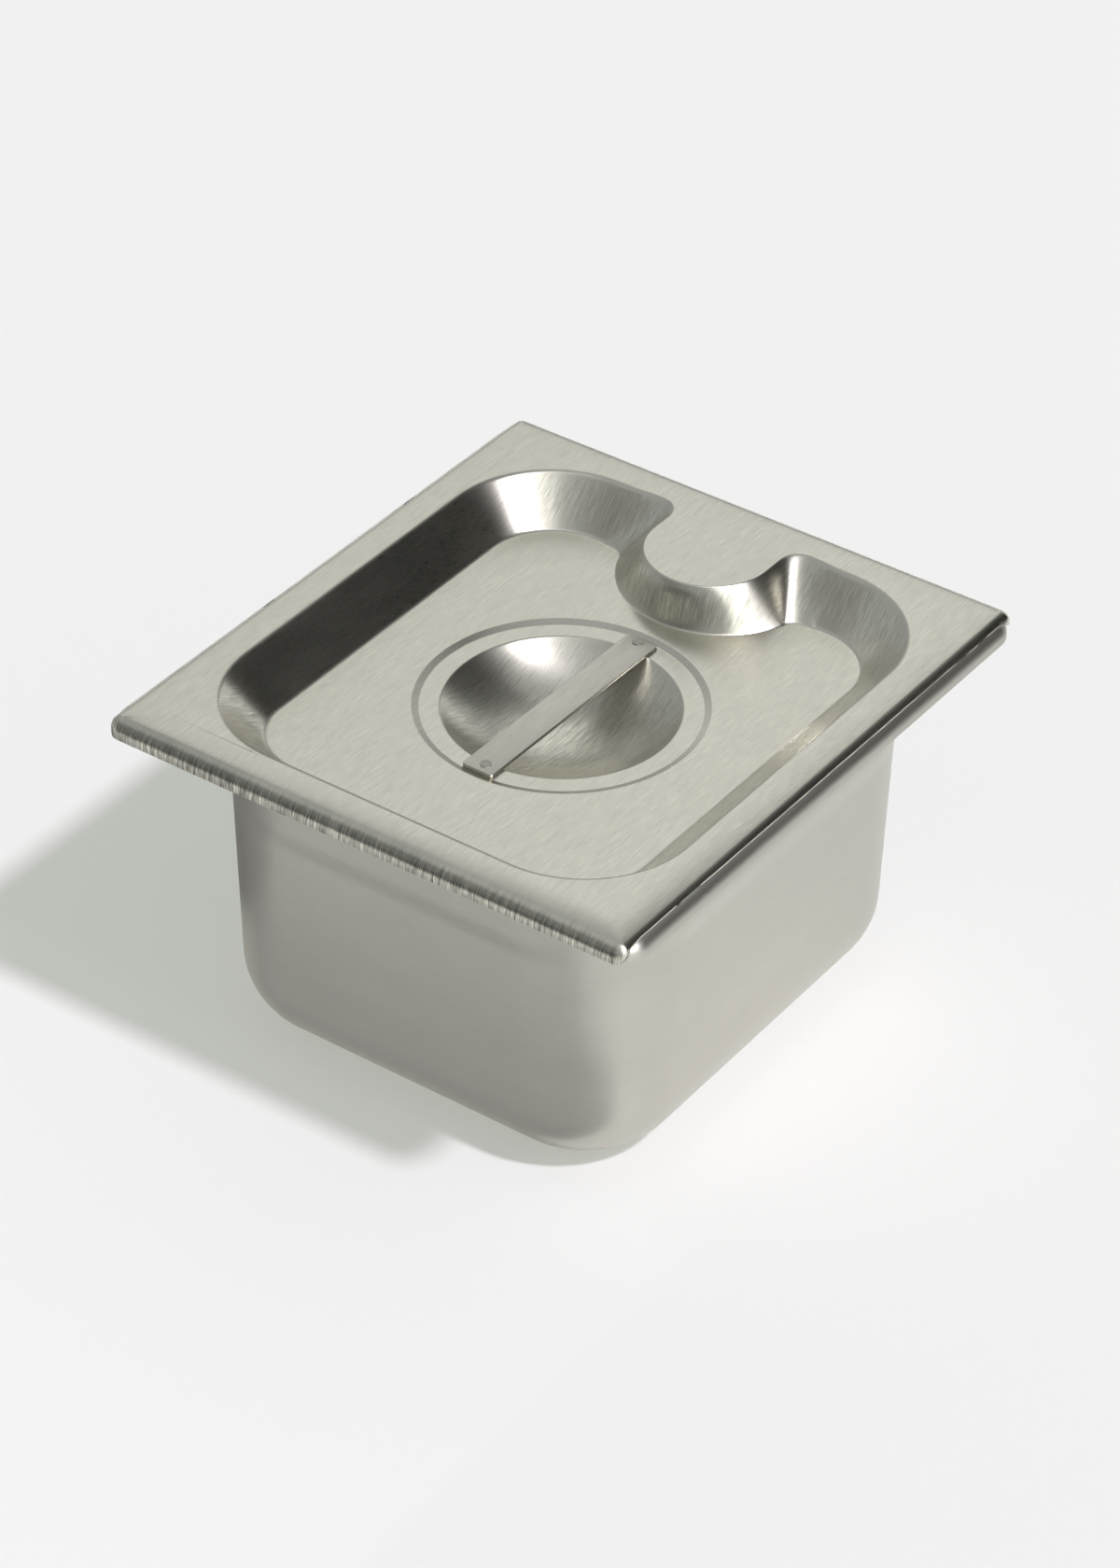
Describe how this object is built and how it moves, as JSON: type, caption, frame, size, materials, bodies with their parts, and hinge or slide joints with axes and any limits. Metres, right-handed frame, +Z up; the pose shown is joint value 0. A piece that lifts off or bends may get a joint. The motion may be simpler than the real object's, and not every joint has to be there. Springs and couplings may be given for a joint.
{
  "type": "hotel pan",
  "caption": "Deep stainless steel food pan with drafted walls and a shoulder, and a lift-off lid with a sunk tray, a finger tongue and a round dish under a flat handle strip",
  "frame": {"origin": "middle of the pan's flat base, on the surface it stands on", "axes": "+X to the right side of the pan, +Y to the back where the tongue of the lid is and along the pan's longer side, +Z up"},
  "size_m": [0.162, 0.178, 0.1016],
  "materials": {
    "pan": "brushed level round the walls",
    "lid": "brushed front to back",
    "strip": "brushed along the strip",
    "weld": "dull spot weld"
  },
  "bodies": {
    "pan": {"pan": "pan"},
    "lid": {"lid": "lid", "handle_strip": "strip", "weld_near": "weld", "weld_far": "weld"}
  },
  "joints": [
    {"name": "lid_lift", "type": "slide", "parent": "pan", "child": "lid", "axis": [0, 0, 1], "range_m": [0, 0.06]}
  ]
}
